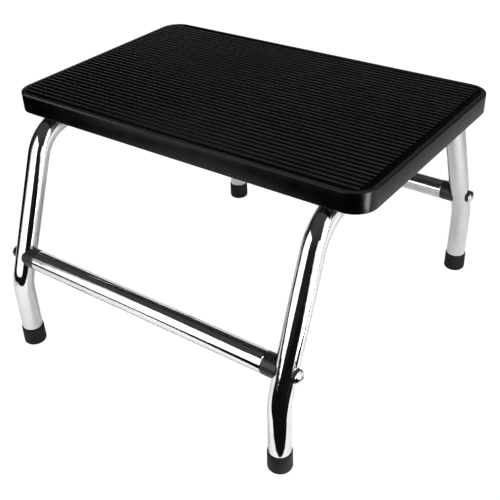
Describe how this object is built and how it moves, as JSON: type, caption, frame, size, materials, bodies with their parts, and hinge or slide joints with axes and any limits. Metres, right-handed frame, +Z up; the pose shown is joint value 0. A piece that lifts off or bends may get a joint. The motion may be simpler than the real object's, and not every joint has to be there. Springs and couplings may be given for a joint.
{
  "type": "step stool",
  "caption": "Low step stool for standing or resting feet on: ribbed rubber tread over a flat board, on bent chromed tube frames joined by crossbars, with rubber foot tips.",
  "frame": {"origin": "on the floor, under the middle of the deck", "axes": "+Z up; X along the long side of the deck and the crossbars, with +X to the right; Y along the short side, with -Y to the front"},
  "size_m": [0.415, 0.417, 0.268],
  "materials": {
    "cover_rubber": "moulded, satin black, ribbed",
    "plywood": "board stained black",
    "chrome_tube": "bright chrome plate",
    "chrome_bolt": "bright chrome plate",
    "zinc_steel": "zinc plated",
    "black_plastic": "moulded, satin black",
    "tip_rubber": "moulded, matt dark grey"
  },
  "bodies": {
    "root": {"tread_cover": "cover_rubber", "deck_board": "plywood", "left_leg_frame": "chrome_tube", "right_leg_frame": "chrome_tube", "front_crossbar": "chrome_tube", "rear_crossbar": "chrome_tube", "front_left_saddle_cap": "black_plastic", "front_left_threaded_insert": "zinc_steel", "front_left_bolt_washer": "black_plastic", "front_left_crossbar_bolt": "chrome_bolt", "front_left_foot_tip": "tip_rubber", "front_left_tip_washer": "zinc_steel", "front_left_deck_screw": "zinc_steel", "front_right_saddle_cap": "black_plastic", "front_right_threaded_insert": "zinc_steel", "front_right_bolt_washer": "black_plastic", "front_right_crossbar_bolt": "chrome_bolt", "front_right_foot_tip": "tip_rubber", "front_right_tip_washer": "zinc_steel", "front_right_deck_screw": "zinc_steel", "rear_left_saddle_cap": "black_plastic", "rear_left_threaded_insert": "zinc_steel", "rear_left_bolt_washer": "black_plastic", "rear_left_crossbar_bolt": "chrome_bolt", "rear_left_foot_tip": "tip_rubber", "rear_left_tip_washer": "zinc_steel", "rear_left_deck_screw": "zinc_steel", "rear_right_saddle_cap": "black_plastic", "rear_right_threaded_insert": "zinc_steel", "rear_right_bolt_washer": "black_plastic", "rear_right_crossbar_bolt": "chrome_bolt", "rear_right_foot_tip": "tip_rubber", "rear_right_tip_washer": "zinc_steel", "rear_right_deck_screw": "zinc_steel"}
  },
  "joints": []
}
